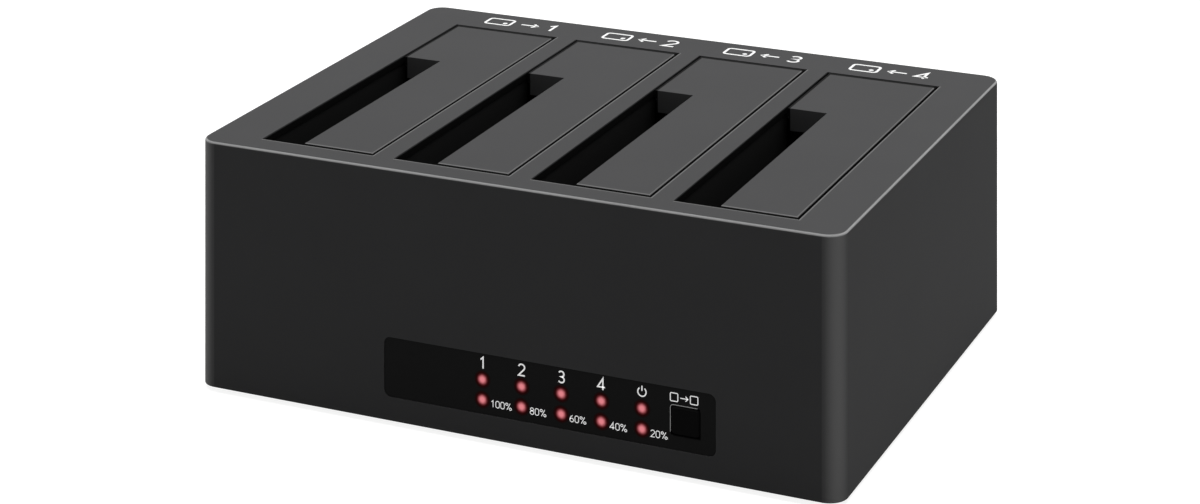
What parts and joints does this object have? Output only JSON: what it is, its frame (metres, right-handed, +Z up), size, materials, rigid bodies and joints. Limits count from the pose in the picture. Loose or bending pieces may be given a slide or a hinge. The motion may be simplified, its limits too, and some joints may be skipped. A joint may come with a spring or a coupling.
{
  "type": "drive duplicator dock",
  "caption": "Free-standing dock with sprung L-shaped roof hatches over upright drive wells, a window of status lights and a push button that starts a copy.",
  "frame": {"origin": "centre of the footprint, on the surface the feet stand on", "axes": "+X right along the front, +Y back from the front face, +Z up"},
  "size_m": [0.162, 0.1248, 0.0596],
  "materials": {
    "black_shell": "fine matt texture",
    "black_frame": "satin moulded",
    "steel": "plated",
    "spring_steel": "drawn wire",
    "socket_black": "moulded",
    "gold": "plated",
    "laminate": "solder mask",
    "chip": "moulded",
    "can": "satin",
    "window": "polished",
    "light": "clear, lit",
    "blue_plastic": "moulded",
    "port_steel": "plated",
    "rubber": "matt"
  },
  "bodies": {
    "case": {"bay_frame": "black_frame", "board_link": "socket_black", "bottom_plate": "black_shell", "capacitors": "can", "case_screws": "steel", "clone_switch_body": "socket_black", "control_chips": "chip", "dc_jack_body": "socket_black", "dc_jack_pin": "port_steel", "flap_pin_a": "steel", "flap_pin_b": "steel", "flap_pin_c": "steel", "flap_pin_d": "steel", "flap_spring_a": "spring_steel", "flap_spring_b": "spring_steel", "flap_spring_c": "spring_steel", "flap_spring_d": "spring_steel", "frame_screws": "steel", "front_window": "window", "inductors": "chip", "led_board": "laminate", "led_board_screws": "steel", "led_link": "socket_black", "light_pipes": "light", "main_board": "laminate", "main_board_screws": "steel", "power_switch_body": "socket_black", "rubber_feet": "rubber", "sata_contacts": "gold", "sata_socket_a": "socket_black", "sata_socket_b": "socket_black", "sata_socket_c": "socket_black", "sata_socket_d": "socket_black", "socket_board": "laminate", "socket_board_screws": "steel", "status_leds": "light", "top_housing": "black_shell", "usb_port_shell": "port_steel", "usb_port_tongue": "blue_plastic"},
    "hatch_a": {"drive_flap_a": "black_shell"},
    "hatch_b": {"drive_flap_b": "black_shell"},
    "hatch_c": {"drive_flap_c": "black_shell"},
    "hatch_d": {"drive_flap_d": "black_shell"},
    "clone_button_set": {"clone_button": "black_shell", "clone_switch_plunger": "port_steel"},
    "power_button_set": {"power_button": "black_shell"}
  },
  "joints": [
    {"name": "hatch_a_hinge", "type": "hinge", "parent": "case", "child": "hatch_a", "pos_m": [-0.0367, -0.0037, 0.056], "axis": [0, -1, 0], "range_deg": [0, 90], "stiffness_Nm_per_rad": 0.004, "springref_deg": -91.67, "deforming": ["flap_spring_a"]},
    {"name": "hatch_b_hinge", "type": "hinge", "parent": "case", "child": "hatch_b", "pos_m": [-0.0013, -0.0037, 0.056], "axis": [0, -1, 0], "range_deg": [0, 90], "stiffness_Nm_per_rad": 0.004, "springref_deg": -91.67, "deforming": ["flap_spring_b"]},
    {"name": "hatch_c_hinge", "type": "hinge", "parent": "case", "child": "hatch_c", "pos_m": [0.0341, -0.0037, 0.056], "axis": [0, -1, 0], "range_deg": [0, 90], "stiffness_Nm_per_rad": 0.004, "springref_deg": -91.67, "deforming": ["flap_spring_c"]},
    {"name": "hatch_d_hinge", "type": "hinge", "parent": "case", "child": "hatch_d", "pos_m": [0.0695, -0.0037, 0.056], "axis": [0, -1, 0], "range_deg": [0, 90], "stiffness_Nm_per_rad": 0.004, "springref_deg": -91.67, "deforming": ["flap_spring_d"]},
    {"name": "clone_button_press", "type": "slide", "parent": "case", "child": "clone_button_set", "axis": [0, 1, 0], "range_m": [0, 0.0003], "stiffness_N_per_m": 800, "springref_m": -0.0006},
    {"name": "power_button_press", "type": "slide", "parent": "case", "child": "power_button_set", "axis": [0, -1, 0], "range_m": [0, 0.0015], "stiffness_N_per_m": 500, "springref_m": -0.001}
  ]
}
